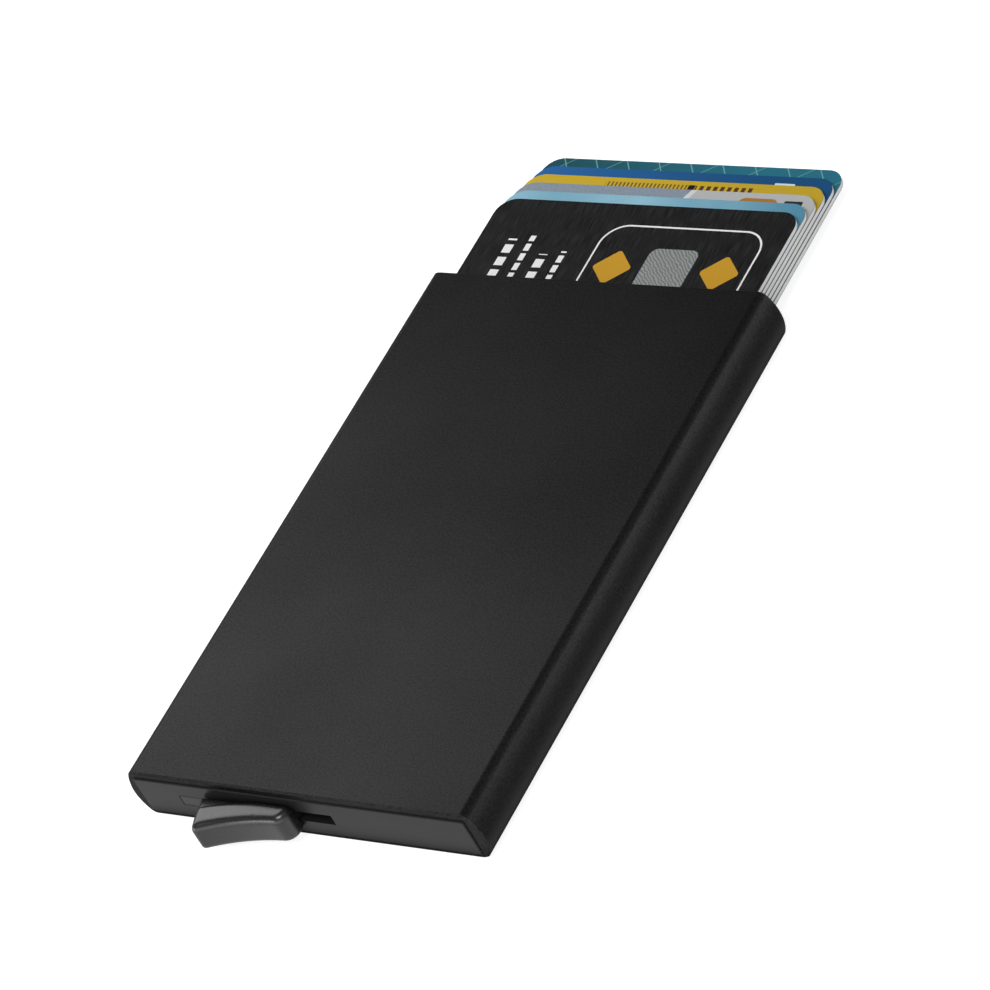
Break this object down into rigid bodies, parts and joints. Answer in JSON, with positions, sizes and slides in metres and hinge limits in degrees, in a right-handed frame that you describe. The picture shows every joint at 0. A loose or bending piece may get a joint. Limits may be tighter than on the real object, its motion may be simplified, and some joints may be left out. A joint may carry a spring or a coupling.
{
  "type": "card wallet",
  "caption": "Slim pop-up card wallet: aluminium sleeve with bowed sides, cards fanned out of its mouth, and a thumb slider on the closed end that lifts them with a stepped arm.",
  "frame": {"origin": "centre of the sleeve's flat back face", "axes": "+Z out of the front face, +Y along the sleeve to its mouth, +X across it, away from the resting thumb tab's side"},
  "size_m": [0.0616, 0.1348, 0.0091],
  "materials": {
    "anodised_aluminium": "black anodised over fine bead blasting, matt",
    "base_plastic": "moulded, fine matt",
    "tab_plastic": "moulded, satin gloss",
    "arm_plastic": "moulded acetal, smooth",
    "slippery_plastic": "moulded acetal, smooth",
    "rail_plastic": "moulded, fine matt",
    "steel": "plain ground steel",
    "spring_steel": "drawn spring wire",
    "felt": "pressed felt",
    "card_1_print": "black brushed print under satin laminate",
    "card_2_print": "sky blue print, gloss laminate",
    "card_3_print": "silver grey print, gloss laminate",
    "card_4_print": "golden yellow print, gloss laminate",
    "card_5_print": "strong blue print, gloss laminate",
    "card_6_print": "dark teal print, gloss laminate"
  },
  "bodies": {
    "case": {"sleeve": "anodised_aluminium", "base": "base_plastic", "mechanism_cover": "base_plastic", "cover_screws": "steel", "pivot_pin": "steel", "pivot_washer": "slippery_plastic", "return_spring": "spring_steel", "back_pad": "felt", "front_pad": "felt", "left_rail": "rail_plastic", "right_rail": "rail_plastic"},
    "slider": {"slide_carriage": "slippery_plastic", "thumb_tab": "tab_plastic"},
    "arm": {"step_arm": "arm_plastic"},
    "card_1": {"card_1": "card_1_print"},
    "card_2": {"card_2": "card_2_print"},
    "card_3": {"card_3": "card_3_print"},
    "card_4": {"card_4": "card_4_print"},
    "card_5": {"card_5": "card_5_print"},
    "card_6": {"card_6": "card_6_print"}
  },
  "joints": [
    {"name": "arm_swing", "type": "hinge", "parent": "case", "child": "arm", "pos_m": [-0.0185, -0.04085, 0.00455], "axis": [0, 0, 1], "range_deg": [0, 74.01], "stiffness_Nm_per_rad": 0.006, "springref_deg": -37.24, "deforming": ["return_spring"]},
    {"name": "tab_slide", "type": "slide", "parent": "case", "child": "slider", "axis": [1, 0, 0], "range_m": [0, 0.0062]},
    {"name": "card_1_slide", "type": "slide", "parent": "case", "child": "card_1", "axis": [0, 1, 0], "range_m": [-0.01824, 0.05636]},
    {"name": "card_2_slide", "type": "slide", "parent": "case", "child": "card_2", "axis": [0, 1, 0], "range_m": [-0.0208, 0.0538]},
    {"name": "card_3_slide", "type": "slide", "parent": "case", "child": "card_3", "axis": [0, 1, 0], "range_m": [-0.02336, 0.05124]},
    {"name": "card_4_slide", "type": "slide", "parent": "case", "child": "card_4", "axis": [0, 1, 0], "range_m": [-0.02591, 0.04869]},
    {"name": "card_5_slide", "type": "slide", "parent": "case", "child": "card_5", "axis": [0, 1, 0], "range_m": [-0.02847, 0.04613]},
    {"name": "card_6_slide", "type": "slide", "parent": "case", "child": "card_6", "axis": [0, 1, 0], "range_m": [-0.03103, 0.04357]}
  ],
  "couplings": [
    {"joint": "arm_swing", "follows": "tab_slide", "rad_per_m": 208.33}
  ]
}
